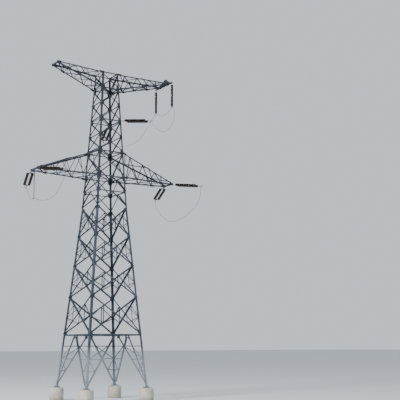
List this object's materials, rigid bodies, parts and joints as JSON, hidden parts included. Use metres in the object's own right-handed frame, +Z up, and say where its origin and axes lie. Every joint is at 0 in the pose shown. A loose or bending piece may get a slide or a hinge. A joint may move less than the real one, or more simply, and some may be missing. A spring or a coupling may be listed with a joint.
{
  "type": "lattice transmission pylon",
  "caption": "Bolted angle-steel lattice strain tower on four concrete piers, with two crossarms, twin insulator strings and hanging jumpers",
  "frame": {"origin": "ground level, in the middle of the whole object's footprint; the tower's own axis stands 0.765 m to its left", "axes": "+X along the crossarms towards the jumper beam, +Y along the line towards the back span, +Z up"},
  "size_m": [16.8205, 8.9862, 32.7678],
  "materials": {
    "galvanised_steel": "weathered hot-dip galvanised",
    "pier_concrete": "cast concrete, weathered",
    "insulator_porcelain": "brown glazed porcelain with galvanised fittings",
    "conductor_aluminium": "stranded, dull grey"
  },
  "bodies": {
    "root": {"pier_front_left": "pier_concrete", "pier_front_right": "pier_concrete", "pier_back_right": "pier_concrete", "pier_back_left": "pier_concrete", "lower_leg_front_left": "galvanised_steel", "lower_leg_front_right": "galvanised_steel", "lower_leg_back_right": "galvanised_steel", "lower_leg_back_left": "galvanised_steel", "shaft_leg_front_left": "galvanised_steel", "shaft_leg_front_right": "galvanised_steel", "shaft_leg_back_right": "galvanised_steel", "shaft_leg_back_left": "galvanised_steel", "foot_bracing_front_left": "galvanised_steel", "foot_bracing_front_right": "galvanised_steel", "foot_bracing_back_right": "galvanised_steel", "foot_bracing_back_left": "galvanised_steel", "lower_bracing_front": "galvanised_steel", "lower_bracing_right": "galvanised_steel", "lower_bracing_back": "galvanised_steel", "lower_bracing_left": "galvanised_steel", "shaft_bracing_front": "galvanised_steel", "shaft_bracing_right": "galvanised_steel", "shaft_bracing_back": "galvanised_steel", "shaft_bracing_left": "galvanised_steel", "ring_frame": "galvanised_steel", "shaft_diaphragms": "galvanised_steel", "lower_arm_left": "galvanised_steel", "lower_arm_right": "galvanised_steel", "top_arm_left": "galvanised_steel", "top_arm_right": "galvanised_steel", "jumper_beam": "galvanised_steel", "tension_set_lower_left_front": "insulator_porcelain", "tension_set_lower_left_back": "insulator_porcelain", "tension_set_lower_right_front": "insulator_porcelain", "tension_set_lower_right_back": "insulator_porcelain", "tension_set_middle_front": "insulator_porcelain", "tension_set_middle_back": "insulator_porcelain", "jumper_string_lower_left": "insulator_porcelain", "jumper_string_top_front": "insulator_porcelain", "jumper_string_top_back": "insulator_porcelain", "jumper_lower_left": "conductor_aluminium", "jumper_lower_right": "conductor_aluminium", "jumper_middle": "conductor_aluminium"}
  },
  "joints": []
}
